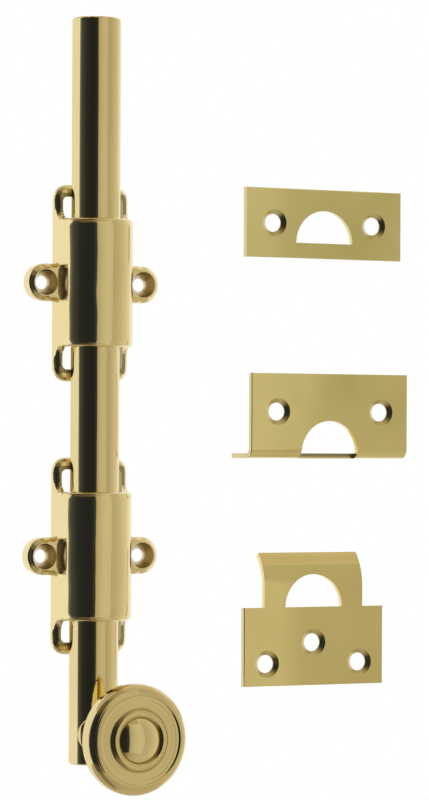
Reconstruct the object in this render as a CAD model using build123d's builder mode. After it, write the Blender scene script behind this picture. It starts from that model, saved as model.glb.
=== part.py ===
from build123d import *
from math import acos, atan, degrees, sqrt
import os

# Half-round surface bolt in solid brass, with its two guides and a set of three loose strikes.
# Millimetres. +Z runs up along the rod, +X to the right as seen from the room, +Y into the door.
# The door's face is the plane Y = 0, so everything on the door stands on its -Y side.
# The origin is the middle of the upper guide's two screw holes, on the door's face.
# The bolt is drawn fully down, which is the lower end of its travel.

# Rod, a half round that slides with its flat side towards the door
rod_width = 15.875
rod_length = 228.6
rod_stand_off = 3.4  # from the door's face to the rod's flat
rod_tail = 9.3  # from the knob's axis down to the rod's lower end
rod_end_bevel = 0.6

# Guides, two of the same casting
guide_spacing = 83.6  # between the screws of the two guides
guide_width = 25.4
guide_length = 60.2
guide_corner = 4.5
guide_plate = 2.4  # thickness of the loop at each end
loop_edge_bevel = 1.4
loop_side = 2.4  # width of the loop's long sides
loop_end = 3.6  # width of the loop's end bar
loop_reach = 10.5  # from the arch's end to the loop's end
loop_window_corner = 1.6
arch_rise = 14.7  # from the door's face to the arch's crown
arch_end_bevel = 0.8
arch_draft = 0.4  # how far each side leans in below the round
arch_sweep_in = 3.3  # radius of the hollow where the loop runs up into the arch
recess_depth = 3.0  # open back behind the rod, under the arch

# Ears of the guides
screw_spacing = 33.4
ear_radius = 5.7
ear_thickness = 4.2
ear_edge_bevel = 1.2
ear_root_round = 1.2
ear_hole = 4.2
ear_sink = 7.9
ear_sink_depth = 3.2
notch_height = 10.6  # spot face cut into the arch's side, for the screw's head
notch_half_gap = 11.2  # from the rod's axis to the notch's wall

# Knob, one turning
knob_disc = 33.6
knob_stand_off = 18.16  # from the rod's crown to the back of the disc
rim_height = 2.2
rim_run = 3.0  # of the rim's round across the face
rim_drop = 3.6  # of the rim's round down the side
rim_round = 3.4
step_drop = 0.5
step_run = 0.3
boss_foot = 20.4  # diameter where the raised middle starts
cove_top = 18.2  # diameter where the cove has run up into the bead
cove_rise = 0.6
bead_crown = 16.6  # diameter of the bead's top
bead_rise = 1.1  # of the bead above the field
groove_drop = 0.75  # of the groove below the bead's top
dome_diameter = 13.7
dome_rise = 2.2
disc_back_bevel = 0.7
neck_diameter = 8.8
neck_root = 1.3  # bevel at the neck's foot
neck_flare = 4.2  # round where the neck opens into the disc's back
foot_diameter = 13.9
foot_lip = 0.5  # thickness of the saddle-shaped foot

# Travel
bolt_throw = 27.6
stop_gap = 0.15  # left between the foot and the lower guide at full throw

# Screw that holds the knob, from the rod's flat
knob_screw_diameter = 4.0
knob_screw_grip = 8.5  # length of thread inside the knob
knob_screw_head = 7.4
knob_screw_head_height = 2.2
knob_screw_slot = 1.0
knob_screw_slot_depth = 0.9
knob_screw_sunk = 0.2  # of the head below the flat

# Stop pin in the rod's flat, which lands on the upper guide
pin_diameter = 4.0
pin_depth = 3.6  # pressed into the rod
pin_door_gap = 0.3
pin_rest_gap = 0.3  # above the upper guide when the bolt is fully down

# Leaf springs in the guides' open backs
spring_thickness = 0.5
spring_width = 10.0
spring_end_gap = 0.25

# Strikes, pierced and bent plate
strike_plate = 1.6
strike_hole = 5.7
strike_sink = 8.6
strike_sink_depth = 1.2
strike_slot_clearance = 2.4  # of the D-shaped hole round the rod, each side
strike_edge_bevel = 0.25

flat_width = 57.15
flat_height = 22.0
flat_screw_spacing = 36.5
flat_sill = 4.9  # plate below the D-shaped hole
flat_left = 54.4  # place of the loose plate, left edge
flat_bottom = 10.0

angle_width = 57.4
angle_height = 26.9
angle_flange = 12.7
angle_bend = 1.6  # inside radius
angle_screw_spacing = 37.9
angle_screw_height = 14.8  # above the plate's lower edge
angle_slot_depth = 3.2  # how far the opening runs back from the plate's front
angle_left = 56.6
angle_bottom = -53.5

universal_width = 50.8
universal_height = 24.8
universal_screw_spacing = 33.9
universal_screw_height = 7.0
universal_mid_screw_height = 13.5
tongue_width = 35.9
tongue_height = 17.2
tongue_straight = 6.3
tongue_lean = 4.3  # how far the tongue's end curls back
universal_left = 54.2
universal_bottom = -125.4

# Fits
running_clearance = 0.08  # rod in the guides, all round
seat_clearance = 0.02  # faces that are pressed or drawn together
screw_clearance = 0.15  # screw through the rod
spring_clearance = 0.1  # bowed spring behind the rod's flat
touch = 0.01  # how near counts as the same place when edges are chosen

rod_radius = rod_width / 2
rod_crown = rod_stand_off + rod_radius
rod_way = rod_radius + running_clearance
arch_length = guide_length - 2 * loop_reach
arch_half = arch_length / 2
neck_swell = neck_diameter + 2 * neck_root
guide_half = guide_width / 2
arch_radius = guide_half - arch_draft
arch_spring = arch_rise - arch_radius  # height of the arch's straight sides
arch_half_at_ear = sqrt(arch_radius**2 - (ear_thickness - arch_spring) ** 2)
sweep_top = arch_half + arch_sweep_in
sweep_rise = guide_plate + arch_sweep_in
window_width = guide_width - 2 * loop_side
window_length = guide_length - 2 * loop_end
foot_radius = foot_diameter / 2
knob_height = -guide_spacing - arch_half - stop_gap - bolt_throw - foot_radius
knob_axis = Axis((0, 0, knob_height), (0, -1, 0))
rod_bottom = knob_height - rod_tail
disc_radius = knob_disc / 2
disc_back = rod_crown + knob_stand_off
rim_top = disc_back + rim_height
disc_front = rim_top + rim_drop
field_depth = disc_front - step_drop
field_radius = disc_radius - rim_run - step_run
bead_top = field_depth + bead_rise
groove_depth = bead_top - groove_drop
dome_ball = (dome_diameter**2 / 4 + dome_rise**2) / (2 * dome_rise)
screw_way = knob_screw_diameter / 2 + screw_clearance
head_seat_radius = knob_screw_head / 2 + screw_clearance
head_face = rod_stand_off + knob_screw_sunk
head_root = head_face + knob_screw_head_height
pin_height = guide_length / 2 + pin_rest_gap + pin_diameter / 2
slot_radius = rod_radius + strike_slot_clearance
curl_height = tongue_height - tongue_straight
curl_radius = (curl_height**2 + tongue_lean**2) / (2 * tongue_lean)
curl_angle = degrees(acos(1 - tongue_lean / curl_radius))
ear_sink_angle = 2 * degrees(atan((ear_sink - ear_hole) / 2 / ear_sink_depth))
strike_sink_angle = 2 * degrees(atan((strike_sink - strike_hole) / 2 / strike_sink_depth))


def front(height, x=0.0, depth=0.0):
    """Sketch plane that faces the room, depth in front of the door's face."""
    return Plane(origin=(x, -depth, height), x_dir=(1, 0, 0), z_dir=(0, -1, 0))


def side(height, x=0.0):
    """Sketch plane across the part: local x is the depth in front of the door, local y is up."""
    return Plane(origin=(x, 0, height), x_dir=(0, -1, 0), z_dir=(-1, 0, 0))


def arch_face():
    """Section of the arch: drafted sides from the door's face, then a half circle."""
    left = (-arch_radius, -arch_spring)
    right = (arch_radius, -arch_spring)
    with BuildSketch() as face:
        with BuildLine():
            Polyline(right, (guide_half, 0), (-guide_half, 0), left)
            ThreePointArc(left, (0, -arch_rise), right)
        make_face()
    return face.sketch


def half_round_face(radius, flat_depth):
    """Section of a half round whose flat lies flat_depth in front of the door's face."""
    with BuildSketch() as face:
        with BuildLine():
            Line((radius, -flat_depth), (-radius, -flat_depth))
            ThreePointArc((-radius, -flat_depth), (0, -flat_depth - radius), (radius, -flat_depth))
        make_face()
    return face.sketch


def stepped(arc, steps):
    """Points of straight steps along an arc, which keep a turned face light."""
    return [arc @ (step / steps) for step in range(steps + 1)]


def is_loop_rim(edge, height):
    """True for the front outer edges of the two loops, past the arch."""
    place = edge.center()
    past_side = abs(place.X) > guide_half - loop_side / 2
    past_end = abs(place.Z - height) > guide_length / 2 - loop_end / 2
    past_arch = abs(place.Z - height) > arch_half + touch
    return (past_side or past_end) and past_arch and place.Y < touch - guide_plate


def make_guide(height, label):
    """Cast guide: an arch over the rod, a loop above and below it and an ear each side."""
    # loops, with the hollow that runs up into the arch, trimmed to the arch's own outline
    with BuildPart() as loops:
        with BuildSketch(front(height)):
            RectangleRounded(guide_width, guide_length, guide_corner)
        extrude(amount=guide_plate)
        with BuildSketch(side(height)):
            with BuildLine():
                Polyline((guide_plate, -sweep_top), (0, -sweep_top), (0, sweep_top), (guide_plate, sweep_top))
                RadiusArc((guide_plate, sweep_top), (sweep_rise, arch_half), -arch_sweep_in)
                Line((sweep_rise, arch_half), (sweep_rise, -arch_half))
                RadiusArc((sweep_rise, -arch_half), (guide_plate, -sweep_top), -arch_sweep_in)
            make_face()
        extrude(amount=guide_half, both=True)
        with BuildSketch(front(height)):
            RectangleRounded(window_width, window_length, loop_window_corner)
        extrude(amount=sweep_rise, mode=Mode.SUBTRACT)
        chamfer(loops.edges().filter_by(lambda e: is_loop_rim(e, height)), loop_edge_bevel)
        with BuildSketch(Plane.XY.offset(height - guide_length / 2)):
            add(arch_face())
        extrude(amount=guide_length, mode=Mode.INTERSECT)

    # ears, one slab right across, with round roots at the arch
    with BuildPart() as ears:
        with BuildSketch(front(height)) as ear_plan:
            SlotCenterToCenter(screw_spacing, 2 * ear_radius)
            Rectangle(2 * arch_half_at_ear, arch_half)
            roots = ear_plan.vertices().filter_by(lambda v: abs(abs(v.Y) - ear_radius) < touch)
            fillet(roots.group_by(lambda v: round(abs(v.X), 3))[0], ear_root_round)
        extrude(amount=ear_thickness)
        rim = ears.faces().sort_by(Axis.Y)[0].edges()
        chamfer(rim.filter_by(lambda e: abs(e.center().X) > arch_half_at_ear + touch), ear_edge_bevel)

    with BuildPart() as guide:
        with BuildSketch(Plane.XY.offset(height - arch_half)):
            add(arch_face())
        extrude(amount=arch_length)
        ends = guide.faces().sort_by(Axis.Z)
        outlines = ends[0].edges() + ends[-1].edges()
        chamfer(outlines.filter_by(lambda e: e.center().Y < -touch), arch_end_bevel)
        add(loops.part)
        add(ears.part)
        # spot faces that let the screws' heads pass the arch
        for way in (-1, 1):
            with BuildSketch(Plane.XY.offset(height - notch_height / 2)):
                with Locations((way * (notch_half_gap + guide_half / 2), -ear_thickness - guide_half / 2)):
                    Rectangle(guide_half, guide_half)
            extrude(amount=notch_height, mode=Mode.SUBTRACT)
        # open back for the spring, and the half-round way for the rod
        with BuildSketch(front(height)):
            Rectangle(window_width, arch_length)
        extrude(amount=recess_depth, mode=Mode.SUBTRACT)
        with BuildSketch(Plane.XY.offset(height - arch_half)):
            add(half_round_face(rod_way, rod_stand_off))
            with Locations((0, -recess_depth)):
                Rectangle(2 * rod_way, 2 * (rod_stand_off - recess_depth))
        extrude(amount=arch_length, mode=Mode.SUBTRACT)
        with Locations(*[front(height, way * screw_spacing / 2, ear_thickness) for way in (-1, 1)]):
            CounterSinkHole(ear_hole / 2, ear_sink / 2, depth=ear_thickness, counter_sink_angle=ear_sink_angle)
    guide.part.label = label
    export_step(guide.part, f"parts/{label}.step")


def make_spring(height, label):
    """Bowed leaf that presses on the rod's flat, its ends on the door between the loops' end bars."""
    half = window_length / 2 - spring_end_gap
    crown = rod_stand_off - spring_clearance
    with BuildPart() as spring:
        with BuildSketch(side(height)):
            with BuildLine():
                ThreePointArc((0, -half), (crown - spring_thickness, 0), (0, half))
                Line((0, half), (spring_thickness, half))
                ThreePointArc((spring_thickness, half), (crown, 0), (spring_thickness, -half))
                Line((spring_thickness, -half), (0, -half))
            make_face()
        extrude(amount=spring_width / 2, both=True)
    spring.part.label = label
    export_step(spring.part, f"parts/{label}.step")


os.makedirs("parts", exist_ok=True)

make_guide(0, "upper_guide")
make_guide(-guide_spacing, "lower_guide")
make_spring(0, "upper_spring")
make_spring(-guide_spacing, "lower_spring")


# Rod
with BuildPart() as bolt_rod:
    with BuildSketch(Plane.XY.offset(rod_bottom)):
        add(half_round_face(rod_radius, rod_stand_off))
    extrude(amount=rod_length)
    ends = bolt_rod.faces().sort_by(Axis.Z)
    chamfer(ends[0].edges() + ends[-1].edges(), rod_end_bevel)
    # countersunk hole for the knob's screw, from the flat
    with BuildSketch(side(knob_height)):
        with BuildLine():
            Polyline(
                (rod_stand_off, 0),
                (rod_stand_off, head_seat_radius),
                (head_face, head_seat_radius),
                (head_root, screw_way),
                (rod_crown, screw_way),
                (rod_crown, 0),
                close=True,
            )
        make_face()
    revolve(axis=knob_axis, mode=Mode.SUBTRACT)
    # blind hole for the stop pin
    with BuildSketch(front(pin_height, 0, rod_stand_off)):
        Circle(pin_diameter / 2 + seat_clearance)
    extrude(amount=pin_depth + seat_clearance, mode=Mode.SUBTRACT)
bolt_rod.part.label = "bolt_rod"
export_step(bolt_rod.part, "parts/bolt_rod.step")


# Stop pin
with BuildPart() as stop_pin:
    with BuildSketch(front(pin_height, 0, pin_door_gap)):
        Circle(pin_diameter / 2)
    extrude(amount=rod_stand_off - pin_door_gap + pin_depth)
stop_pin.part.label = "stop_pin"
export_step(stop_pin.part, "parts/stop_pin.step")


# Screw that draws the knob onto the rod, slotted and countersunk
with BuildPart() as knob_screw:
    with BuildSketch(side(knob_height)):
        with BuildLine():
            Polyline(
                (head_face, 0),
                (head_face, knob_screw_head / 2),
                (head_root, knob_screw_diameter / 2),
                (rod_crown + knob_screw_grip, knob_screw_diameter / 2),
                (rod_crown + knob_screw_grip, 0),
                close=True,
            )
        make_face()
    revolve(axis=knob_axis)
    with BuildSketch(front(knob_height, 0, head_face)):
        Rectangle(knob_screw_head, knob_screw_slot)
    extrude(amount=knob_screw_slot_depth, mode=Mode.SUBTRACT)
knob_screw.part.label = "knob_screw"
export_step(knob_screw.part, "parts/knob_screw.step")


# Knob: a saddle-shaped foot on the rod's round, a waisted neck and a dished disc
with BuildPart() as knob:
    with BuildSketch(front(knob_height, 0, rod_stand_off)):
        Circle(foot_radius)
    extrude(amount=rod_radius + foot_lip)
    with BuildSketch(Plane.XY.offset(knob_height - foot_radius)):
        with Locations((0, -rod_stand_off)):
            Circle(rod_radius + foot_lip)
    extrude(amount=foot_diameter, mode=Mode.INTERSECT)
    with BuildSketch(side(knob_height)):
        with BuildLine():
            Polyline((rod_stand_off, 0), (rod_stand_off, neck_swell / 2), (rod_crown, neck_swell / 2))
            neck_low = (rod_crown + neck_root, neck_diameter / 2)
            neck_high = (disc_back - neck_flare, neck_diameter / 2)
            hub = (disc_back, neck_diameter / 2 + neck_flare)
            Polyline((rod_crown, neck_swell / 2), neck_low, neck_high)
            flare = RadiusArc(neck_high, hub, -neck_flare, mode=Mode.PRIVATE)
            Polyline(*stepped(flare, 3))
            Polyline(
                hub,
                (disc_back, disc_radius - disc_back_bevel),
                (disc_back + disc_back_bevel, disc_radius),
                (rim_top, disc_radius),
            )
            rim_end = (disc_front, disc_radius - rim_run)
            Polyline(*stepped(RadiusArc((rim_top, disc_radius), rim_end, rim_round, mode=Mode.PRIVATE), 5))
            Line(rim_end, (field_depth, field_radius))
            cove_end = (field_depth + cove_rise, cove_top / 2)
            Polyline((field_depth, field_radius), (field_depth, boss_foot / 2), cove_end)
            groove = (groove_depth, dome_diameter / 2)
            bead = ThreePointArc(cove_end, (bead_top, bead_crown / 2), groove, mode=Mode.PRIVATE)
            Polyline(*stepped(bead, 3))
            dome = RadiusArc(groove, (groove_depth + dome_rise, 0), dome_ball, mode=Mode.PRIVATE)
            Polyline(*stepped(dome, 5))
            Line((groove_depth + dome_rise, 0), (rod_stand_off, 0))
        make_face()
    revolve(axis=knob_axis)
    with BuildSketch(Plane.XY.offset(knob_height - foot_diameter)):
        with Locations((0, -rod_stand_off)):
            Circle(rod_radius + seat_clearance)
    extrude(amount=2 * foot_diameter, mode=Mode.SUBTRACT)
    with BuildSketch(front(knob_height, 0, rod_stand_off)):
        Circle(knob_screw_diameter / 2 + seat_clearance)
    extrude(amount=rod_radius + knob_screw_grip + screw_clearance, mode=Mode.SUBTRACT)
knob.part.label = "knob"
export_step(knob.part, "parts/knob.step")


# Flat strike, for a head that stands flush with the door
flat_middle = flat_left + flat_width / 2
with BuildPart() as strike_flat:
    with BuildSketch(front(flat_bottom + flat_height / 2, flat_middle)):
        Rectangle(flat_width, flat_height)
    extrude(amount=strike_plate)
    chamfer(strike_flat.faces().sort_by(Axis.Y)[0].edges(), strike_edge_bevel)
    with BuildSketch(front(flat_bottom + flat_sill, flat_middle)):
        Circle(slot_radius)
        Rectangle(2 * slot_radius, slot_radius, align=(Align.CENTER, Align.MAX), mode=Mode.SUBTRACT)
    extrude(amount=strike_plate, mode=Mode.SUBTRACT)
    with Locations(front(flat_bottom + flat_height / 2, flat_middle, strike_plate)):
        with GridLocations(flat_screw_spacing, 0, 2, 1):
            CounterSinkHole(strike_hole / 2, strike_sink / 2, strike_plate, strike_sink_angle)
strike_flat.part.label = "strike_flat"
export_step(strike_flat.part, "parts/strike_flat.step")


# Angle strike, for a head that stands out: its lower edge turns back under the head
angle_middle = angle_left + angle_width / 2
with BuildPart() as strike_angle:
    with BuildSketch(side(angle_bottom, angle_middle)) as section:
        with BuildLine():
            Polyline(
                (strike_plate, 0),
                (strike_plate, angle_height),
                (0, angle_height),
                (0, strike_plate),
                (strike_plate - angle_flange, strike_plate),
                (strike_plate - angle_flange, 0),
                close=True,
            )
        make_face()
        fillet(section.vertices().sort_by_distance((strike_plate, 0))[0], angle_bend + strike_plate)
        fillet(section.vertices().sort_by_distance((0, strike_plate))[0], angle_bend)
    extrude(amount=angle_width / 2, both=True)
    # the head's opening, which runs on round the bend
    with BuildSketch(front(angle_bottom + strike_plate, angle_middle, strike_plate - angle_slot_depth)):
        Circle(slot_radius)
        Rectangle(2 * slot_radius, slot_radius, align=(Align.CENTER, Align.MAX))
    extrude(amount=angle_slot_depth, mode=Mode.SUBTRACT)
    with Locations(front(angle_bottom + angle_screw_height, angle_middle, strike_plate)):
        with GridLocations(angle_screw_spacing, 0, 2, 1):
            CounterSinkHole(strike_hole / 2, strike_sink / 2, strike_plate, strike_sink_angle)
strike_angle.part.label = "strike_angle"
export_step(strike_angle.part, "parts/strike_angle.step")


# Universal strike, whose tongue curls back over the edge it is screwed to
universal_middle = universal_left + universal_width / 2
universal_top = universal_bottom + universal_height
with BuildPart() as strike_universal:
    with BuildSketch(front(universal_bottom + universal_height / 2, universal_middle)):
        Rectangle(universal_width, universal_height)
    extrude(amount=strike_plate)
    with BuildSketch(side(universal_top, universal_middle)):
        with BuildLine():
            front_run = Line((strike_plate, -strike_plate), (strike_plate, tongue_straight))
            front_curl = JernArc(front_run @ 1, (0, 1), curl_radius, curl_angle)
            back_run = Line((0, -strike_plate), (0, tongue_straight))
            back_curl = JernArc(back_run @ 1, (0, 1), curl_radius - strike_plate, curl_angle)
            Line(front_curl @ 1, back_curl @ 1)
            Line(front_run @ 0, back_run @ 0)
        make_face()
    extrude(amount=tongue_width / 2, both=True)
    with BuildSketch(front(universal_top, universal_middle, strike_plate - tongue_lean - strike_plate)):
        Circle(slot_radius)
        Rectangle(2 * slot_radius, slot_radius, align=(Align.CENTER, Align.MAX), mode=Mode.SUBTRACT)
    extrude(amount=tongue_lean + strike_plate, mode=Mode.SUBTRACT)
    with Locations(front(universal_bottom + universal_screw_height, universal_middle, strike_plate)):
        with GridLocations(universal_screw_spacing, 0, 2, 1):
            CounterSinkHole(strike_hole / 2, strike_sink / 2, strike_plate, strike_sink_angle)
    with Locations(front(universal_bottom + universal_mid_screw_height, universal_middle, strike_plate)):
        CounterSinkHole(strike_hole / 2, strike_sink / 2, strike_plate, strike_sink_angle)
strike_universal.part.label = "strike_universal"
export_step(strike_universal.part, "parts/strike_universal.step")
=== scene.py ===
import bpy
import bmesh
from math import asin, atan2, cos, degrees, pi, radians, sin
from mathutils import Matrix, Vector


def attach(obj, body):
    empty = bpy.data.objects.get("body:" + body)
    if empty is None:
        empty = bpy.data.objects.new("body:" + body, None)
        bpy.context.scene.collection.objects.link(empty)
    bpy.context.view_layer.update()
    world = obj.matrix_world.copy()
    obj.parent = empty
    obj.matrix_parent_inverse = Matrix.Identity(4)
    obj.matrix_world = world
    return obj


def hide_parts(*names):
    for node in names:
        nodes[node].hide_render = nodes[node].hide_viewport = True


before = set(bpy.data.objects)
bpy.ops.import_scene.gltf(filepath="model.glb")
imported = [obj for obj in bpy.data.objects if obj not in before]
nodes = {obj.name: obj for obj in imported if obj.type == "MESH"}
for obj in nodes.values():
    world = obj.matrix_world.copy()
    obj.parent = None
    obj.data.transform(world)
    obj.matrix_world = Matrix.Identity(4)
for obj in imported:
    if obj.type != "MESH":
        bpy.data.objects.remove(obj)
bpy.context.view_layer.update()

# Camera. The photograph looks at the bolt from the left and almost level, from a little over a metre.
camera_place = Vector((-0.5093, -1.0080, -0.0505))
camera_turn = radians(28.77)  # from square-on to the door, towards +X
camera_pitch = radians(0.758)  # upwards
camera_roll = radians(0.268)
photo_height, focal_pixels, sensor_width = 800, 3668, 36

aim = Vector((sin(camera_turn) * cos(camera_pitch), cos(camera_turn) * cos(camera_pitch), sin(camera_pitch)))
level_right = Vector((cos(camera_turn), -sin(camera_turn), 0))
level_up = level_right.cross(aim)
camera_right = level_right * cos(camera_roll) + level_up * sin(camera_roll)
camera_up = camera_right.cross(aim)
camera = bpy.data.objects.new("camera", bpy.data.cameras.new("camera"))
bpy.context.scene.collection.objects.link(camera)
camera.data.sensor_width = sensor_width
camera.data.lens = sensor_width * focal_pixels / photo_height
camera.matrix_world = Matrix.Translation(camera_place) @ Matrix(
    (camera_right, camera_up, -aim)).transposed().to_4x4()
camera.data.clip_start, camera.data.clip_end = 0.01, 50
bpy.context.scene.camera = camera
bpy.context.scene.view_settings.view_transform = "Standard"


# Rod. A half round of drawn brass, polished along its length, so that its hairlines run up and down.
# Its flat side slides towards the door, and both ends are sawn off and eased with a file.
def effect(name, takes, gives):
    """Empty shared effect with named sockets, and its way in and way out."""
    group = bpy.data.node_groups.new(name, "ShaderNodeTree")
    kinds = {tuple: "NodeSocketVector", float: "NodeSocketFloat"}
    for label, value in takes.items():
        kind = "NodeSocketColor" if "Color" in label else kinds[type(value)]
        group.interface.new_socket(label, in_out="INPUT", socket_type=kind).default_value = value
    for label in gives:
        kind = {"Color": "NodeSocketColor", "Normal": "NodeSocketVector"}.get(label, "NodeSocketFloat")
        group.interface.new_socket(label, in_out="OUTPUT", socket_type=kind)
    return group, group.nodes.new("NodeGroupInput"), group.nodes.new("NodeGroupOutput")


def sum_node(tree, work, *values):
    """Math node of one working, each value either a number or another node's socket."""
    node = tree.nodes.new("ShaderNodeMath")
    node.operation = work
    for socket, value in zip(node.inputs, values):
        if isinstance(value, (int, float)):
            socket.default_value = value
        else:
            tree.links.new(value, socket)
    return node.outputs["Value"]


def blend_node(tree, share, first, second):
    """Colour mixed from two others."""
    node = tree.nodes.new("ShaderNodeMix")
    node.data_type = "RGBA"
    for socket, value in (("Factor", share), ("A", first), ("B", second)):
        tree.links.new(value, node.inputs[socket])
    return node.outputs["Result"]


def stretch_node(tree, value, start, end, soft=False):
    """0 up to the start of a stretch and 1 from its end on, evenly between them or with soft ends."""
    node = tree.nodes.new("ShaderNodeMapRange")
    if soft:
        node.interpolation_type = "SMOOTHSTEP"
    node.inputs["From Min"].default_value, node.inputs["From Max"].default_value = start, end
    tree.links.new(value, node.inputs["Value"])
    return node.outputs["Result"]


def bump_node(tree, depth, strength, height, under=None):
    """Raised and sunk marks, depth metres deep at full strength, over another normal if there is one."""
    node = tree.nodes.new("ShaderNodeBump")
    node.inputs["Distance"].default_value = depth
    node.inputs["Strength"].default_value = 1
    if strength:
        tree.links.new(strength, node.inputs["Strength"])
    tree.links.new(height, node.inputs["Height"])
    if under:
        tree.links.new(under, node.inputs["Normal"])
    return node.outputs["Normal"]


cloud_edges, ripple_depth, hairline_depth = (0.35, 0.7), 0.0005, 0.00001


def polish_effect():
    """Soft clouding, hairlines and the faint unevenness that a polishing wheel leaves."""
    group, takes, gives = effect("polish marks", {
        "Color": (0.8, 0.62, 0.3, 1), "Cloud Color": (0.7, 0.5, 0.2, 1), "Cloud Scale": 40.0,
        "Gloss": 0.05, "Gloss Spread": 0.05, "Hairline Stretch": (1.0, 1.0, 1.0), "Hairline Height": 0.1,
        "Ripple Scale": 60.0, "Ripple Height": 0.1}, ("Color", "Roughness", "Normal"))
    make, join = group.nodes.new, group.links.new
    place = make("ShaderNodeTexCoord")
    cloud, ripple, hairs = (make("ShaderNodeTexNoise") for _ in range(3))
    for noise, detail in ((cloud, 4), (ripple, 1), (hairs, 3)):
        noise.inputs["Detail"].default_value = detail
    join(place.outputs["Object"], cloud.inputs["Vector"])
    join(takes.outputs["Cloud Scale"], cloud.inputs["Scale"])
    clouded = stretch_node(group, cloud.outputs["Fac"], *cloud_edges)
    join(blend_node(group, clouded, takes.outputs["Color"], takes.outputs["Cloud Color"]),
         gives.inputs["Color"])
    drawn = make("ShaderNodeVectorMath")
    drawn.operation = "MULTIPLY"
    join(place.outputs["Object"], drawn.inputs[0])
    join(takes.outputs["Hairline Stretch"], drawn.inputs[1])
    hairs.inputs["Scale"].default_value = 1
    join(drawn.outputs["Vector"], hairs.inputs["Vector"])
    join(sum_node(group, "MULTIPLY_ADD", hairs.outputs["Fac"], takes.outputs["Gloss Spread"],
                  takes.outputs["Gloss"]), gives.inputs["Roughness"])
    join(place.outputs["Object"], ripple.inputs["Vector"])
    join(takes.outputs["Ripple Scale"], ripple.inputs["Scale"])
    wave = bump_node(group, ripple_depth, takes.outputs["Ripple Height"], ripple.outputs["Fac"])
    join(bump_node(group, hairline_depth, takes.outputs["Hairline Height"], hairs.outputs["Fac"], wave),
         gives.inputs["Normal"])
    return group


polish_marks = polish_effect()
finish_plugs = (("Color", "Base Color"), ("Roughness", "Roughness"), ("Normal", "Normal"))


def brass(name, **values):
    """A metal whose colour, gloss and surface come from the polish marks, with the given values."""
    material = bpy.data.materials.new(name)
    material.use_nodes = True
    shader = material.node_tree.nodes["Principled BSDF"]
    shader.inputs["Metallic"].default_value = 1
    finish = material.node_tree.nodes.new("ShaderNodeGroup")
    finish.node_tree = polish_marks
    for key, value in values.items():
        finish.inputs[key.replace("_", " ").title()].default_value = value
    for plug, socket in finish_plugs:
        material.node_tree.links.new(finish.outputs[plug], shader.inputs[socket])
    return material


def finish_with(material, *names):
    """Gives CAD nodes their metal."""
    for name in names:
        for slot in nodes[name].material_slots:
            slot.material = material


merge_gap = 0.000001


def ease_edges(name, sharp_angle=50):
    """Lets the light run round a node's small bevels, as on polished edges, and keeps its sharp edges."""
    piece = nodes[name]
    merge = piece.modifiers.new("merge corners", "WELD")
    merge.merge_threshold = merge_gap
    split = piece.modifiers.new("keep sharp edges", "EDGE_SPLIT")
    split.split_angle = radians(sharp_angle)
    piece.modifiers.new("round the light", "WEIGHTED_NORMAL").weight = 80


rod_brass = brass("drawn polished brass", color=(0.82, 0.665, 0.315, 1), cloud_color=(0.78, 0.63, 0.285, 1),
                  cloud_scale=35, gloss=0.03, gloss_spread=0.05, hairline_stretch=(2500, 2500, 40),
                  hairline_height=0.35, ripple_scale=45, ripple_height=0.04)
finish_with(rod_brass, "bolt_rod")
ease_edges("bolt_rod")


# Stop pin. A short piece of drawn brass wire, pressed into the rod's flat, out of sight behind it.
# Its end is cropped and dulled, because nobody sees it.
pin_brass = brass("cropped brass wire", color=(0.74, 0.59, 0.28, 1), cloud_color=(0.62, 0.47, 0.2, 1),
                  cloud_scale=300, gloss=0.22, gloss_spread=0.12, hairline_stretch=(2500, 300, 2500),
                  hairline_height=0.5, ripple_scale=200, ripple_height=0.01)
finish_with(pin_brass, "stop_pin")


# Knob. One brass turning, polished while it spun, so that all its marks are rings. Its dished face has a
# rounded rim, a flat, a bead and a dome. The saddle at its foot is milled to sit on the rod's round.
knob_height, rod_crown = -0.1379, 0.0113375
saddle_end = 0.0003  # how far before the rod's crown the milled saddle stops
neck_foot = rod_crown + saddle_end
neck_radius, neck_root, neck_flare = 0.0044, 0.0013, 0.0042
bore_radius, bore_end = 0.00202, rod_crown + 0.00865
disc_radius, disc_back, back_bevel = 0.0168, rod_crown + 0.01816, 0.0007
rim_radius, rim_middle, rim_turn = 0.0034, (disc_back + 0.002423, 0.013407), (93.8, 6.6)
field_depth, field_radius, field_rings = disc_back + 0.0053, 0.0135, (0.0004, 0.001, 0.002, 0.0028)
cove_foot, cove_radius, cove_turn, cove_end = 0.0102, 0.001308, (180, 237.2), (field_depth + 0.0006, 0.0091)
bead_top, groove = (field_depth + 0.0011, 0.0083), (field_depth + 0.00035, 0.00685)
dome_rise = 0.0022
dome_ball = (groove[1] ** 2 + dome_rise ** 2) / (2 * dome_rise)
dome_middle = (groove[0] + dome_rise - dome_ball, 0)
knob_steps, knob_sharp = 160, 32  # faces round the knob, and the turn between two faces that stays sharp


def around(middle, radius, start, end, steps):
    """Points (depth, radius) of a round stretch of a turned profile, its angles in degrees from the axis."""
    turns = [radians(start + (end - start) * step / steps) for step in range(steps + 1)]
    return [(middle[0] + radius * cos(turn), middle[1] + radius * sin(turn)) for turn in turns]


def through(first, middle, last, steps):
    """Points of the round stretch that runs through three points of a turned profile."""
    a, b, c = (Vector(point) for point in (first, middle, last))
    turns = ((a, b - c), (b, c - a), (c, a - b))
    share = 2 * sum(point.x * side.y for point, side in turns)
    centre = Vector((sum(point.length_squared * side.y for point, side in turns) / share,
                     -sum(point.length_squared * side.x for point, side in turns) / share))
    start, halfway, end = (degrees(atan2(p.y - centre.y, p.x - centre.x)) for p in (a, b, c))
    if not min(start, end) < halfway < max(start, end):
        start, end = start % 360, end % 360
    return around(centre, (a - centre).length, start, end, steps)


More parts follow.
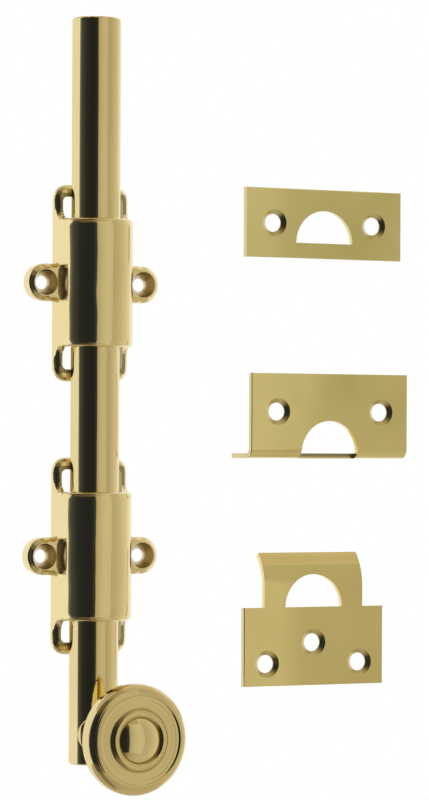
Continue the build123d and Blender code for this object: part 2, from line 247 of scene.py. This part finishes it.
knob_outline = [
    (bore_end, 0), (bore_end, bore_radius), (neck_foot, bore_radius),
    (neck_foot, neck_radius + neck_root - saddle_end), (rod_crown + neck_root, neck_radius),
    *around((disc_back - neck_flare, neck_radius + neck_flare), neck_flare, -90, 0, 12),
    (disc_back, disc_radius - back_bevel), (disc_back + back_bevel, disc_radius),
    *around(rim_middle, rim_radius, *rim_turn, 20),
    *[(field_depth, field_radius - ring) for ring in (0, *field_rings)],
    *around((field_depth + cove_radius, cove_foot), cove_radius, *cove_turn, 8),
    *through(cove_end, bead_top, groove, 12)[1:],
    *around(dome_middle, dome_ball, degrees(asin(groove[1] / dome_ball)), 0, 18)[1:],
]
turned = bmesh.new()
line = [turned.verts.new((radius, -depth, knob_height)) for depth, radius in knob_outline]
for start, end in zip(line, line[1:]):
    turned.edges.new((start, end))
bmesh.ops.spin(turned, geom=turned.verts[:] + turned.edges[:], cent=(0, 0, knob_height), axis=(0, 1, 0),
               angle=2 * pi, steps=knob_steps, use_merge=True)
bmesh.ops.remove_doubles(turned, verts=turned.verts[:], dist=merge_gap)
bmesh.ops.dissolve_degenerate(turned, edges=turned.edges[:], dist=merge_gap)
bmesh.ops.recalc_face_normals(turned, faces=turned.faces[:])

# the milled saddle is cut from a merged copy of the CAD knob, just above the neck's root
saddle = bmesh.new()
saddle.from_mesh(nodes["knob"].data)
bmesh.ops.remove_doubles(saddle, verts=saddle.verts[:], dist=merge_gap)
cut = bmesh.ops.bisect_plane(saddle, geom=saddle.verts[:] + saddle.edges[:] + saddle.faces[:],
                             plane_co=(0, -neck_foot - 10 * merge_gap, 0), plane_no=(0, -1, 0),
                             clear_outer=True)
cut_edges = [item for item in cut["geom_cut"] if isinstance(item, bmesh.types.BMEdge)]
bmesh.ops.bridge_loops(saddle, edges=cut_edges)
saddle_mesh = bpy.data.meshes.new("saddle")
saddle.to_mesh(saddle_mesh)
saddle.free()
turned.from_mesh(saddle_mesh)
bpy.data.meshes.remove(saddle_mesh)
knob_mesh = bpy.data.meshes.new("turned_knob")
turned.to_mesh(knob_mesh)
turned.free()
knob_mesh.shade_smooth()
knob_mesh.set_sharp_from_angle(angle=radians(knob_sharp))
turned_knob = bpy.data.objects.new("turned_knob", knob_mesh)
bpy.context.scene.collection.objects.link(turned_knob)


def axes_of(tree, place=None):
    """X, Y and Z of a place, or else of the spot that is being coloured."""
    split = tree.nodes.new("ShaderNodeSeparateXYZ")
    tree.links.new(place or tree.nodes.new("ShaderNodeTexCoord").outputs["Object"], split.inputs["Vector"])
    return [split.outputs[axis] for axis in "XYZ"]


def band(tree, value, middle, half):
    """Mask of a stretch that reaches half as far as its length to each side of its middle."""
    return sum_node(tree, "COMPARE", value, middle, half)


def in_all(tree, mask, *others):
    """Mask of the ground that lies in every mask."""
    for other in others:
        mask = sum_node(tree, "MULTIPLY", mask, other)
    return mask


mask_sharpness = 8000  # a round mask fades out over an eighth of a millimetre
off_door = 0.00005  # faces nearer than this lie on the door
ring_depth = 0.0002


def hole_effect():
    """How far a point is from a line square to the door, and a mask of the ground within reach of that line.
    Faces that lie on the door stay out of the mask, because holes are cut from the front."""
    group, takes, gives = effect("round a hole", {
        "Place": (0.0, 0.0, 0.0), "Centre": (0.0, 0.0, 0.0), "Reach": 0.004}, ("Distance", "Mask"))
    make, join = group.nodes.new, group.links.new
    gap = make("ShaderNodeVectorMath")
    gap.operation = "SUBTRACT"
    join(takes.outputs["Place"], gap.inputs[0])
    join(takes.outputs["Centre"], gap.inputs[1])
    level = make("ShaderNodeVectorMath")
    level.operation = "MULTIPLY"
    level.inputs[1].default_value = (1, 0, 1)
    join(gap.outputs["Vector"], level.inputs[0])
    far = make("ShaderNodeVectorMath")
    far.operation = "LENGTH"
    join(level.outputs["Vector"], far.inputs[0])
    join(far.outputs["Value"], gives.inputs["Distance"])
    inside = sum_node(group, "MULTIPLY", mask_sharpness, sum_node(
        group, "SUBTRACT", takes.outputs["Reach"], far.outputs["Value"]))
    before_door = sum_node(group, "LESS_THAN", axes_of(group, takes.outputs["Place"])[1], -off_door)
    join(in_all(group, inside, before_door), gives.inputs["Mask"])
    return group


def cutter_effect():
    """Ground that a cutter has turned or bored: fine rings round its line, duller and browner in the mask."""
    group, takes, gives = effect("cutter marks", {
        "Color": (0.8, 0.62, 0.3, 1), "Roughness": 0.1, "Normal": (0.0, 0.0, 0.0),
        "Distance": 0.0, "Mask": 0.0, "Cut Color": (0.6, 0.48, 0.25, 1), "Cut Roughness": 0.3,
        "Ring Scale": 900.0, "Ring Height": 0.3}, ("Color", "Roughness", "Normal"))
    make, join = group.nodes.new, group.links.new
    mask = sum_node(group, "MAXIMUM", sum_node(group, "MINIMUM", takes.outputs["Mask"], 1), 0)
    join(blend_node(group, mask, takes.outputs["Color"], takes.outputs["Cut Color"]), gives.inputs["Color"])
    more = sum_node(group, "SUBTRACT", takes.outputs["Cut Roughness"], takes.outputs["Roughness"])
    join(sum_node(group, "MULTIPLY_ADD", more, mask, takes.outputs["Roughness"]), gives.inputs["Roughness"])
    rings = make("ShaderNodeTexNoise")
    rings.noise_dimensions = "1D"
    rings.inputs["Detail"].default_value = 2
    join(takes.outputs["Distance"], rings.inputs["W"])
    join(takes.outputs["Ring Scale"], rings.inputs["Scale"])
    strength = sum_node(group, "MULTIPLY", mask, takes.outputs["Ring Height"])
    join(bump_node(group, ring_depth, strength, rings.outputs["Fac"], takes.outputs["Normal"]),
         gives.inputs["Normal"])
    return group


round_a_hole, cutter_marks = hole_effect(), cutter_effect()


def hole_node(tree, x, z, reach=0, place=None):
    """Distance from the line at (x, z), and mask of the ground within reach of it."""
    hole = tree.nodes.new("ShaderNodeGroup")
    hole.node_tree = round_a_hole
    hole.inputs["Centre"].default_value = (x, 0, z)
    hole.inputs["Reach"].default_value = reach
    tree.links.new(place or tree.nodes.new("ShaderNodeTexCoord").outputs["Object"], hole.inputs["Place"])
    return hole.outputs["Distance"], hole.outputs["Mask"]


def cut_with(material, centres, reach, place=None, wall=None, **values):
    """Adds a cutter's marks to a metal, round each centre (x, z) and in the wall's mask if there is one. They
    lie over what the metal already shows, so a metal can be cut more than once."""
    tree = material.node_tree
    distances, masks = zip(*(hole_node(tree, x, z, reach, place) for x, z in centres))
    marks = tree.nodes.new("ShaderNodeGroup")
    marks.node_tree = cutter_marks
    for plug, work, (first, *others) in (("Distance", "MINIMUM", distances),
                                         ("Mask", "MAXIMUM", (*masks, wall) if wall else masks)):
        for other in others:
            first = sum_node(tree, work, first, other)
        tree.links.new(first, marks.inputs[plug])
    for key, value in values.items():
        marks.inputs[key.replace("_", " ").title()].default_value = value
    for plug, socket in finish_plugs:
        entry = tree.nodes["Principled BSDF"].inputs[socket]
        tree.links.new(entry.links[0].from_socket, marks.inputs[plug])
        tree.links.new(marks.outputs[plug], entry)


knob_brass = brass("turned polished brass", color=(0.80, 0.64, 0.295, 1), cloud_color=(0.76, 0.6, 0.265, 1),
                   cloud_scale=90, gloss=0.035, gloss_spread=0.03, hairline_stretch=(900, 900, 900),
                   hairline_height=0.1, ripple_scale=70, ripple_height=0.01)
cut_with(knob_brass, [(0, knob_height)], 0.03, cut_color=(0.78, 0.62, 0.28, 1), cut_roughness=0.075,
         ring_scale=560, ring_height=1.15)
# painted highlight: the dome gets a lighter copy of the knob's brass, so it shines brighter than the rest of
# the turning
brighter_dome_brass = brass("polished brass dome", color=(0.88, 0.72, 0.345, 1), cloud_color=(0.85, 0.69, 0.32, 1),
                   cloud_scale=90, gloss=0.04, gloss_spread=0.03, hairline_stretch=(900, 900, 900),
                   hairline_height=0.1, ripple_scale=70, ripple_height=0.03)
cove_wall, dull_half, face_start = 0.0094, 0.0003, field_depth - 0.0002
for metal in (knob_brass, brighter_dome_brass):  # no wheel quite reaches the foot of the groove and the cove's wall, which are also painted darker as shade
    knob_tree = metal.node_tree
    from_axis = hole_node(knob_tree, 0, knob_height)[0]
    unpolished_and_shaded = sum_node(knob_tree, "MAXIMUM", *(
        band(knob_tree, from_axis, radius, dull_half) for radius in (groove[1], cove_wall)))
    on_face = sum_node(knob_tree, "LESS_THAN", axes_of(knob_tree)[1], -face_start)
    # painted shade: the darker brown cut colour in the groove's foot and on the cove's wall, besides the
    # duller gloss
    cut_with(metal, [(0, knob_height)], 0, wall=in_all(knob_tree, unpolished_and_shaded, on_face),
             cut_color=(0.58, 0.465, 0.22, 1), cut_roughness=0.25)
    knob_mesh.materials.append(metal)
for face in knob_mesh.polygons:
    reach = Vector((face.center.x, face.center.z - knob_height)).length
    if reach < groove[1] and -face.center.y > groove[0]:
        face.material_index = 1
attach(turned_knob, "bolt")
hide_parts("knob")


# Knob screw. A slotted brass screw, sunk in the rod's flat, that draws the knob onto the rod.
# Its head keeps the fine rings of the lathe it was cut on.
screw_brass = brass("turned screw brass", color=(0.78, 0.62, 0.30, 1), cloud_color=(0.68, 0.52, 0.23, 1),
                    cloud_scale=200, gloss=0.16, gloss_spread=0.08, hairline_stretch=(1500, 1500, 1500),
                    hairline_height=0.2, ripple_scale=150, ripple_height=0.01)
cut_with(screw_brass, [(0, knob_height)], 0.03, cut_color=(0.76, 0.60, 0.28, 1), cut_roughness=0.2,
         ring_scale=3000, ring_height=0.12)
finish_with(screw_brass, "knob_screw")


# Guides. Two castings of one pattern, ground flat behind and polished by hand wherever they show. The
# countersinks and the notches that let the screw heads past the arch are left as the cutter made them, and
# the insides of the loops and the end bars under the rod stay dull, because no polishing wheel gets in there;
# their dark brown colour there is painted shade, cast by the rod and the loops' walls.
guide_brass = brass("cast polished brass", color=(0.88, 0.722, 0.35, 1), cloud_color=(0.85, 0.69, 0.32, 1),
                    cloud_scale=50, gloss=0.035, gloss_spread=0.05, hairline_stretch=(1500, 1500, 150),
                    hairline_height=0.15, ripple_scale=75, ripple_height=0.5)
guide_spacing, ear_screw, countersink = 0.0836, 0.0167, 0.00395
notch_wall, notch_half_height = 0.0112, 0.0056
marks_middle, marks_half = notch_wall + 0.00036, 0.0004  # the cutter's marks run from the wall onto the ear
guide_tree = guide_brass.node_tree
x, y, z = axes_of(guide_tree)
across = sum_node(guide_tree, "ABSOLUTE", x)
up = sum_node(guide_tree, "WRAP", z, guide_spacing / 2, -guide_spacing / 2)
fold = guide_tree.nodes.new("ShaderNodeCombineXYZ")  # both ears of both guides brought onto one
for value, socket in ((across, "X"), (y, "Y"), (up, "Z")):
    guide_tree.links.new(value, fold.inputs[socket])
folded = fold.outputs["Vector"]
in_notch = in_all(guide_tree, band(guide_tree, across, marks_middle, marks_half),
                  band(guide_tree, up, 0, notch_half_height))

# the dull ground, coloured dark brown as painted shade, runs from the windows' walls onto a border round
# them, and over the bars under the rod
window_half_width, window_half_height, border = 0.0103, 0.0265, 0.0011
loop_thickness, loop_skin, face_skin, under_rod_half = 0.0024, 0.0003, 0.0001, 0.0083
dull_shaded_window = in_all(guide_tree, band(guide_tree, across, 0, window_half_width + border),
                   band(guide_tree, up, 0, window_half_height + border),
                   band(guide_tree, y, -loop_thickness / 2, loop_thickness / 2 + loop_skin))
dull_shaded_under_rod = in_all(guide_tree, band(guide_tree, across, 0, under_rod_half),
                   band(guide_tree, y, -loop_thickness, face_skin))
# painted shade: the dark brown cut colour here stands for the shade in the windows and under the rod
cut_with(guide_brass, [(0, 0)], 0, folded, sum_node(guide_tree, "MAXIMUM", dull_shaded_window, dull_shaded_under_rod),
         cut_color=(0.43, 0.345, 0.14, 1), cut_roughness=0.4, ring_scale=400, ring_height=0.1)
cut_with(guide_brass, [(ear_screw, 0)], countersink, folded, in_notch,
         cut_color=(0.66, 0.53, 0.28, 1), cut_roughness=0.3, ring_scale=2200, ring_height=0.4)


def bend_light(material, height):
    """Lets a metal shine as if its surface were raised by a height in metres."""
    tree, entry = material.node_tree, material.node_tree.nodes["Principled BSDF"].inputs["Normal"]
    tree.links.new(bump_node(tree, 1, None, height, entry.links[0].from_socket), entry)


# the wheel rounds the arch a little before the bevels of its ends, and the ears towards their rims
bevel_start, end_roll, end_curve = 0.0188, 0.0018, 115
rim_roll_start, rim_roll_end, rim_drop, ear_root = 0.0039, 0.0051, 0.00036, ear_screw - 0.002
past = sum_node(guide_tree, "SUBTRACT", sum_node(guide_tree, "ABSOLUTE", up), bevel_start - end_roll)
past = sum_node(guide_tree, "MINIMUM", sum_node(guide_tree, "MAXIMUM", past, 0), end_roll)
to_rim = stretch_node(guide_tree, hole_node(guide_tree, ear_screw, 0, place=folded)[0],
                      rim_roll_start, rim_roll_end, soft=True)
on_ear = stretch_node(guide_tree, across, ear_root, ear_screw, soft=True)
rim_fall = sum_node(guide_tree, "MULTIPLY", in_all(guide_tree, to_rim, on_ear), -rim_drop)
bend_light(guide_brass, sum_node(guide_tree, "MULTIPLY_ADD", sum_node(guide_tree, "POWER", past, 2),
                                 -end_curve, rim_fall))
finish_with(guide_brass, "upper_guide", "lower_guide")
ease_edges("upper_guide")
ease_edges("lower_guide")


# Springs. Bowed strips of hard rolled brass behind the rod, one in each guide's open back.
# They are left as they come from the roll, with its fine lines along the strip.
spring_brass = brass("rolled spring brass", color=(0.78, 0.62, 0.30, 1), cloud_color=(0.70, 0.52, 0.24, 1),
                     cloud_scale=90, gloss=0.2, gloss_spread=0.1, hairline_stretch=(2500, 2500, 120),
                     hairline_height=0.3, ripple_scale=80, ripple_height=0.01)
finish_with(spring_brass, "upper_spring", "lower_spring")


# Strikes. Three loose plates, pierced and bent from brass sheet, with a soft satin polish along the sheet.
# Each came from another sheet, so each clouds in its own way, and the countersinks are left as cut.
plate_sink, shade_line_back, shade_line_height, shade_line_half = 0.00432, 0.0016, -0.0524, 0.00055
edge_wear, wear_slope = 0.0003, 0.9  # how wide wear has rounded each plate's left corner, and how steeply
plates = (  # kind, tone, tone and scale of the clouds, left edge, slope at which it leans, screw holes
    ("flat", (0.85, 0.72, 0.315, 1), (0.75, 0.645, 0.26, 1), 34, 0.0544, -0.0025,
     [(0.064725, 0.021), (0.101225, 0.021)]),
    ("angle", (0.87, 0.73, 0.31, 1), (0.775, 0.655, 0.26, 1), 46, 0.0566, 0.0055,
     [(0.06635, -0.0387), (0.10425, -0.0387)]),
    ("universal", (0.875, 0.72, 0.305, 1), (0.79, 0.65, 0.262, 1), 30, 0.0542, 0.0005,
     [(0.06265, -0.1184), (0.0796, -0.1119), (0.09655, -0.1184)]),
)
for kind, tone, cloud_tone, cloud_scale, left, lean, holes in plates:
    sheet_brass = brass(f"satin brass, {kind} strike", color=tone, cloud_color=cloud_tone,
                        cloud_scale=cloud_scale, gloss=0.012, gloss_spread=0.03,
                        hairline_stretch=(160, 2500, 2500), hairline_height=0.015, ripple_scale=40,
                        ripple_height=0.01)
    sheet_tree = sheet_brass.node_tree
    x, y, z = axes_of(sheet_tree)
    from_left = sum_node(sheet_tree, "SUBTRACT", x, left)
    worn_corner = sum_node(sheet_tree, "MULTIPLY", sum_node(sheet_tree, "MINIMUM", from_left, edge_wear),
                           wear_slope)
    bend_light(sheet_brass, sum_node(sheet_tree, "MULTIPLY_ADD", from_left, lean, worn_corner))
    cut_with(sheet_brass, holes, plate_sink, wall=band(sheet_tree, x, left, face_skin),
             cut_color=(0.70, 0.59, 0.27, 1), cut_roughness=0.24, ring_scale=2200, ring_height=0.2)
    if kind == "angle":  # a thin dark line at the foot of its opening is painted shade on the flange's far edge
        flange_shade_line = in_all(sheet_tree, band(sheet_tree, y, shade_line_back, face_skin),
                      band(sheet_tree, z, shade_line_height, shade_line_half))
        # painted shade: the dark cut colour in this thin line stands for the flange's edge lying in shade
        cut_with(sheet_brass, [(0, 0)], 0, wall=flange_shade_line, cut_color=(0.36, 0.31, 0.16, 1), cut_roughness=0.4)
    finish_with(sheet_brass, f"strike_{kind}")


# Studio. A pale floor well below, a black flag round the camera, a white panel at its left and a warm
# grey one at its right: polished brass shows nothing but these. Only the metal sees the panels.
panel_radius, panel_foot, panel_top, panel_steps = 1.9, -1.6, 1.6, 60
flag_top, flag_edge_top = 1.2, 1.35
shaded_ceiling_end, shaded_floor_end = 0.9, 1.2  # how near the bolt the flag's shade reaches
sheen_drop, ceiling_lift, floor_drop = 0.002, 0.01, 0.01  # these keep one card clear of another
flag_start, warm_start, white_start, turn_end = -97, -14, 110, 263  # degrees right of square-on


def glow(name, *stops):
    """Light of a card in one shade, or in stops (degrees right of square-on, shade) round the bolt."""
    material = bpy.data.materials.new(name)
    material.use_nodes = True
    tree = material.node_tree
    tree.nodes.clear()
    make, join = tree.nodes.new, tree.links.new
    out, light = make("ShaderNodeOutputMaterial"), make("ShaderNodeEmission")
    join(light.outputs["Emission"], out.inputs["Surface"])
    if len(stops) == 1:
        light.inputs["Color"].default_value = (*stops[0], 1)
        return material
    x, y, _ = axes_of(tree)
    turn = sum_node(tree, "ARCTAN2", x, sum_node(tree, "MULTIPLY", y, -1))
    first, last = stops[0][0], stops[-1][0]
    ramp = make("ShaderNodeValToRGB")
    for _ in stops[2:]:
        ramp.color_ramp.elements.new(0.5)
    for element, (angle, shade) in zip(ramp.color_ramp.elements, stops):
        element.position = (angle - first) / (last - first)
        element.color = (*shade, 1)
    join(stretch_node(tree, turn, radians(first), radians(last)), ramp.inputs["Fac"])
    join(ramp.outputs["Color"], light.inputs["Color"])
    return material


def panel(name, start, end, near, far, material):
    """Curved card round the bolt from start to end degrees, with its two edges at (radius, height)."""
    made = bmesh.new()
    foot = [made.verts.new((radius * sin(radians(start)), -radius * cos(radians(start)), z))
            for radius, z in (near, far)]
    bmesh.ops.spin(made, geom=[*foot, made.edges.new(foot)], cent=(0, 0, 0), axis=(0, 0, 1),
                   angle=radians(end - start), steps=panel_steps)
    mesh = bpy.data.meshes.new(name)
    made.to_mesh(mesh)
    made.free()
    mesh.materials.append(material)
    card = bpy.data.objects.new(name, mesh)
    bpy.context.scene.collection.objects.link(card)
    card.visible_camera = card.visible_shadow = card.visible_diffuse = False


def warm(level, tone):
    """Grey that grows browner as the tone falls."""
    return (level, level * (0.985 - 0.05 * (1 - tone)), level * (0.93 - 0.2 * (1 - tone)))


foot, top = (panel_radius, panel_foot), (panel_radius, panel_top)
over_flag, over_edge = (panel_radius, flag_top), (panel_radius, flag_edge_top)
panel("black_flag", flag_start, warm_start, foot, over_flag, glow(
    "black flag", (-97, (0.23, 0.25, 0.26)), (-88, (0.072, 0.085, 0.10)), (-79, (0.048, 0.058, 0.072)),
    (-66, (0.026, 0.032, 0.043)), (-40, (0.018, 0.023, 0.034)), (-24, (0.022, 0.026, 0.034)),
    (-18, (0.042, 0.048, 0.058)), (-14, (0.06, 0.065, 0.07))))
panel("flag_edge", flag_start, warm_start, over_flag, over_edge, glow("flag edge", (0.07, 0.06, 0.045)))
panel("wall_over_flag", flag_start, warm_start, over_edge, top, glow("shaded wall", (0.12, 0.10, 0.07)))
panel("ceiling_over_flag", flag_start, warm_start, top, (shaded_ceiling_end, panel_top), glow(
    "shaded ceiling", (-97, (0.30, 0.27, 0.22)), (-75, (0.15, 0.125, 0.09)), (-30, (0.18, 0.15, 0.11)),
    (-14, (0.40, 0.35, 0.27))))
panel("floor_before_flag", flag_start, warm_start, foot, (shaded_floor_end, panel_foot), glow(
    "shaded floor", (-97, (0.40, 0.38, 0.33)), (-80, (0.13, 0.11, 0.08)), (-35, (0.12, 0.10, 0.07)),
    (-14, (0.40, 0.36, 0.28))))
sheen_height, ceiling_height = panel_foot - sheen_drop, panel_top + ceiling_lift
panel("floor_sheen", flag_start, turn_end, (panel_radius, sheen_height), (0, sheen_height), glow(
    "floor sheen", (-97, (0.52, 0.50, 0.45)), (-70, (0.28, 0.25, 0.20)), (-35, (0.27, 0.24, 0.19)),
    (-14, (0.45, 0.42, 0.36)), (30, (0.56, 0.53, 0.46)), (110, (0.60, 0.58, 0.53)),
    (263, (0.52, 0.50, 0.45))))
panel("warm_panel", warm_start, white_start, foot, top, glow(
    "warm panel", (-14, warm(0.44, 0.4)), (-7, warm(0.55, 0.4)), (4, warm(0.63, 0.6)),
    (16, warm(0.67, 0.7)), (31.7, warm(0.65, 0.7)), (32.1, warm(0.53, 0.4)), (45, warm(0.54, 0.4)),
    (63, warm(0.62, 0.8)), (88, warm(0.76, 1)), (110, warm(0.94, 1))))
panel("white_panel", white_start, turn_end, foot, top, glow(
    "white panel", (110, (0.98, 1.0, 1.10)), (238, (0.98, 1.02, 1.15)), (252, (0.90, 0.93, 0.98)),
    (263, (0.74, 0.76, 0.76))))
panel("ceiling", flag_start, turn_end, (panel_radius, ceiling_height), (0, ceiling_height), glow(
    "warm ceiling", (-97, (0.60, 0.56, 0.50)), (-60, (0.34, 0.30, 0.23)), (-14, (0.45, 0.40, 0.31)),
    (25, (0.48, 0.43, 0.34)), (29, (0.66, 0.60, 0.50)), (60, (0.60, 0.55, 0.46)),
    (100, (0.74, 0.69, 0.62)), (240, (0.78, 0.74, 0.68)), (263, (0.60, 0.56, 0.50))))

floor_mesh = bpy.data.meshes.new("floor")
floor_shape = bmesh.new()
bmesh.ops.create_grid(floor_shape, x_segments=1, y_segments=1, size=6,
                      matrix=Matrix.Translation((0, 0, panel_foot - floor_drop)))
floor_shape.to_mesh(floor_mesh)
floor_shape.free()
floor = bpy.data.objects.new("floor", floor_mesh)
bpy.context.scene.collection.objects.link(floor)
pale = bpy.data.materials.new("pale floor")
pale.use_nodes = True
pale.node_tree.nodes["Principled BSDF"].inputs["Base Color"].default_value = (0.86, 0.86, 0.85, 1)
pale.node_tree.nodes["Principled BSDF"].inputs["Roughness"].default_value = 0.9
floor_mesh.materials.append(pale)

world = bpy.data.worlds.new("studio")
bpy.context.scene.world = world
world.use_nodes = True
sky = world.node_tree
sky.nodes.clear()
ways = sky.nodes.new("ShaderNodeLightPath")
seen, lit = sky.nodes.new("ShaderNodeBackground"), sky.nodes.new("ShaderNodeBackground")
seen.inputs["Color"].default_value = (1, 1, 1, 1)
lit.inputs["Color"].default_value = (0.9, 0.9, 0.92, 1)
white_for = sum_node(sky, "MAXIMUM", ways.outputs["Is Camera Ray"], ways.outputs["Is Glossy Ray"])
white_for = sum_node(sky, "MAXIMUM", white_for, ways.outputs["Is Transmission Ray"])
pick, sky_out = sky.nodes.new("ShaderNodeMixShader"), sky.nodes.new("ShaderNodeOutputWorld")
for value, socket in ((white_for, 0), (lit.outputs["Background"], 1), (seen.outputs["Background"], 2)):
    sky.links.new(value, pick.inputs[socket])
sky.links.new(pick.outputs["Shader"], sky_out.inputs["Surface"])
